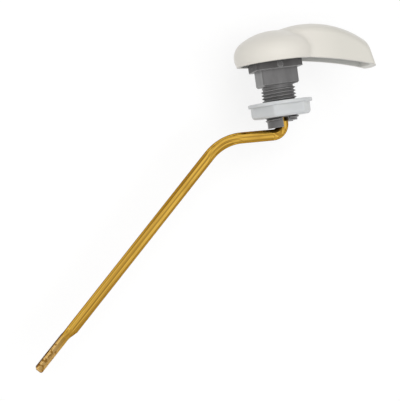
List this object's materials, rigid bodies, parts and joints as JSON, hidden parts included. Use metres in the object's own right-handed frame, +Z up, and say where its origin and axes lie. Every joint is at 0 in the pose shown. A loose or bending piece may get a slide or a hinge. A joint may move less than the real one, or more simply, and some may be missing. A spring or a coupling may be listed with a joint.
{
  "type": "cistern lever",
  "caption": "Cistern flush lever: domed hub with an arched paddle outside the tank, square-keyed threaded bushing and nut through its wall, and a bent brass arm with a pierced tip inside.",
  "frame": {"origin": "centre of the flange face that seats on the outside of the cistern, on the spindle's axis", "axes": "+Y along the spindle through the cistern wall, +X to the arm's side with the paddle on -X, +Z up in use"},
  "size_m": [0.1749, 0.1407, 0.037],
  "materials": {
    "handle": "gloss off-white ABS",
    "bushing": "satin grey acetal",
    "locknut": "translucent white nylon",
    "arm": "drawn brass rod"
  },
  "bodies": {
    "bushing": {"bushing": "bushing"},
    "lever": {"handle": "handle", "arm": "arm"},
    "locknut": {"locknut": "locknut"}
  },
  "joints": [
    {"name": "lever_turn", "type": "hinge", "parent": "bushing", "child": "lever", "pos_m": [0, 0, 0], "axis": [0, -1, 0], "range_deg": [0, 40]},
    {"name": "nut_run", "type": "slide", "parent": "bushing", "child": "locknut", "axis": [0, 1, 0], "range_m": [-0.007, 0.0025]}
  ]
}
